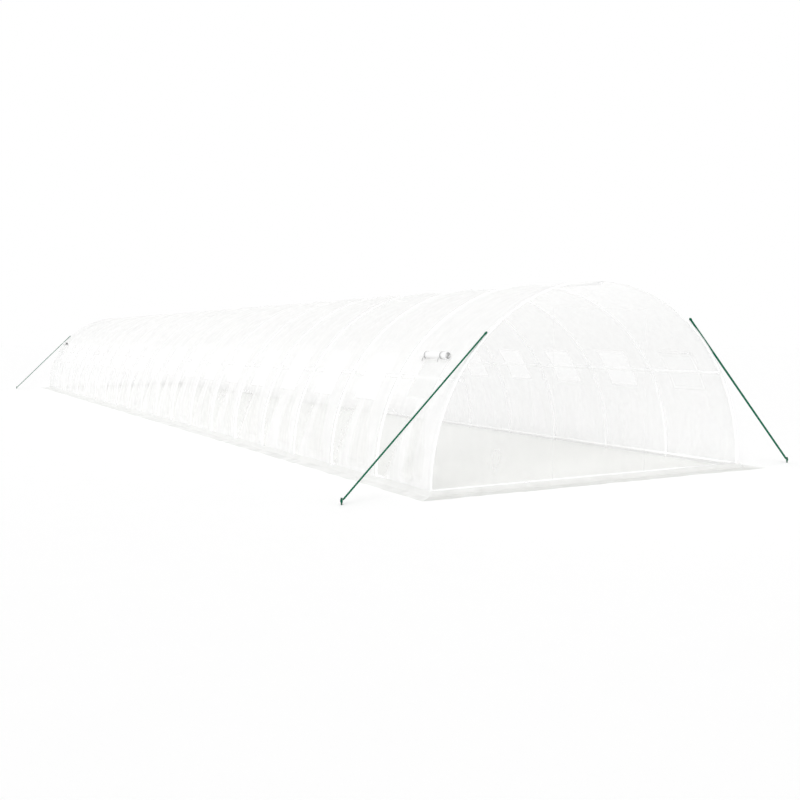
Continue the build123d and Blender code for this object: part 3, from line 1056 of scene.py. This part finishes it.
# %% Twisted ropes with their hitches
ropes = []
for side in (1, -1):
    start, finish, way = rope_line(side)
    axis = np.array([way[0], 0.0, way[1]])
    top = np.array([finish[0], -half_length, finish[1]]) - 0.02 * axis
    peg = (peg_places[side], -half_length, hitch_height)
    hitches = (hitch(top, axis, rope_radii[side] + loop_gap, turns=4.2, thickness=0.0016, rise=0.016),
               hitch(peg, upward, peg_reach + loop_gap, turns=3.6, thickness=0.0026, rise=0.026))
    for end in (1, -1):
        corner = np.array([side, end, 1])
        for phase in (0.0, 2 * math.pi / 3, 4 * math.pi / 3):
            path = strand(start, finish, way, phase, rope_radii[side])
            ropes.append(tube_arrays(path * corner, strand_share * rope_radii[side], 6, axis * corner))
        ropes.extend(tube_arrays(path * corner, thickness, 8, around * corner)
                     for path, thickness, around in hitches)
put_piece("green_guy_ropes", ropes, green_rope, ["guy_ropes"])

# %% [markdown]
# ## Pegs
# A peg is a short round bar with a wider head, which keeps the rope's loop from slipping off. Anything
# round about one axis can be made like work on a lathe: an outline of radius and height is turned
# around the axis.

# %% Turned pegs
def turned(profile, heart, sides=20):
    """Profile of (radius, height) turned around an upright axis."""
    turn = np.linspace(0, 2 * math.pi, sides, endpoint=False)[None]
    radius, height = profile[:, :1], profile[:, 1:]
    x, y = heart[0] + radius * np.cos(turn), heart[1] + radius * np.sin(turn)
    points, faces, uv = closed_arrays(np.stack(np.broadcast_arrays(x, y, height), -1))
    return points, [face[:, ::-1] for face in faces], uv


peg_profile = np.array([(0.0072, 0.0), (0.0078, 0.002), (0.0078, 0.056), (0.0084, 0.058), (0.0096, 0.0592),
                        (0.010, 0.0605), (0.010, 0.0625), (0.0094, 0.064), (0.007, 0.0648), (0.003, 0.065)])
pegs = [turned(peg_profile, (side * peg_places[side], end * half_length))
        for side in (1, -1) for end in (1, -1)]
put_piece("green_ground_pegs", pegs, green_peg, ["ground_pegs"])

# %% [markdown]
# ## Floor and light
# The tunnel stands on a plain white floor under soft light: a pale sky all round, a strong wide lamp
# from the front left and a weak one from the right. The sky is as bright as white paper where the
# camera looks at it, and dimmer as a lamp, so that film and tube keep their own tones. The floor
# takes the shadow. Inside the tunnel the floor is painted duller, most of all near the front: partly
# the ground's own duller tone, partly painted shade under the cover.

# %% White floor
scene = bpy.context.scene
floor_mesh = bpy.data.meshes.new("floor")
left, right, near, far = -90, 90, -90, 160
corners = [(left, near, 0), (right, near, 0), (right, far, 0), (left, far, 0)]
floor_mesh.from_pydata(corners, [], [(0, 1, 2, 3)])
floor = bpy.data.objects.new("floor", floor_mesh)
scene.collection.objects.link(floor)
floor_finish = Finish("white_floor")
paper = floor_finish.noise(floor_finish.place(), 3.0, 2.0)
white_paper = floor_finish.mix(paper, grey(0.988), grey(0.996))
x, y, _ = floor_finish.split(floor_finish.place())
# Painted shade under the cover: inside the tunnel's footprint the floor is darker, darkest near the front,
# and also stands for the duller ground there.
painted_shade_under_cover = (abs(x).ease(hoop_reach - 0.06, hoop_reach + 0.02, 1.0, 0.0)
          * abs(y).ease(half_length - 0.06, half_length + 0.02, 1.0, 0.0))
patches = floor_finish.noise(floor_finish.place(), 2.2, 5.0, 0.6)
near_ground_and_shade = floor_finish.mix(patches, (0.81, 0.813, 0.792, 1.0), (0.865, 0.868, 0.85, 1.0))
ground = floor_finish.mix(y.ease(-half_length, -half_length * 0.5), near_ground_and_shade, (0.94, 0.943, 0.928, 1.0))
floor_finish.set(Base_Color=floor_finish.mix(painted_shade_under_cover, white_paper, ground), Roughness=0.9)
floor_mesh.materials.append(floor_finish.material)
print("floor made")

# %% Sky and lamps
world = bpy.data.worlds.new("sky")
scene.world = world
world.use_nodes = True
sky = world.node_tree
path_kind = sky.nodes.new("ShaderNodeLightPath")
seen = path_kind.outputs["Is Camera Ray"]
for ray in ("Is Glossy Ray", "Is Transmission Ray"):
    either = sky.nodes.new("ShaderNodeMath")
    either.operation = "MAXIMUM"
    sky.links.new(seen, either.inputs[0])
    sky.links.new(path_kind.outputs[ray], either.inputs[1])
    seen = either.outputs[0]
lamp_level, seen_level = 0.7, 1.0
strength = sky.nodes.new("ShaderNodeMapRange")
strength.inputs["To Min"].default_value = lamp_level
strength.inputs["To Max"].default_value = seen_level
sky.links.new(seen, strength.inputs["Value"])
sky.links.new(strength.outputs["Result"], sky.nodes["Background"].inputs["Strength"])
sky.nodes["Background"].inputs["Color"].default_value = (1.0, 1.0, 1.0, 1.0)
lamp_spread = math.radians(35)
for name, energy, turn_x, turn_y in (("left_lamp", 1.4, 37, -42), ("right_lamp", 0.15, 6, 52)):
    sun = bpy.data.lights.new(name, "SUN")
    sun.energy = energy
    sun.angle = lamp_spread
    lamp = bpy.data.objects.new(name, sun)
    lamp.rotation_euler = (math.radians(turn_x), math.radians(turn_y), 0.0)
    scene.collection.objects.link(lamp)
scene.cycles.transparent_max_bounces = 40
scene.cycles.max_bounces = 16
scene.cycles.diffuse_bounces = 6
print("sky and lamps made")

# %% [markdown]
# ## Camera
# The camera stands at eye height to the left of the near end and looks along the tunnel. Its
# place and lens follow from the arches of the photograph: their widths fix how far away each one is.

# %% Camera
lens_pixels, picture_pixels, film_width = 961.4, 800, 36.0
left_of_middle, before_front, above_springing = 6.462, 7.607, 1.432
tilt_down, roll, turn_right = 3.80, 0.16, 28.63
eye = bpy.data.cameras.new("eye")
eye.sensor_width = film_width
eye.lens = lens_pixels / picture_pixels * film_width
camera = bpy.data.objects.new("eye", eye)
camera.location = (-left_of_middle, -half_length - before_front, springing + above_springing)
camera.rotation_euler = [math.radians(angle) for angle in (90 - tilt_down, roll, -turn_right)]
scene.collection.objects.link(camera)
scene.camera = camera
scene.view_settings.view_transform = "Standard"
print("camera at", [round(v, 3) for v in camera.location])
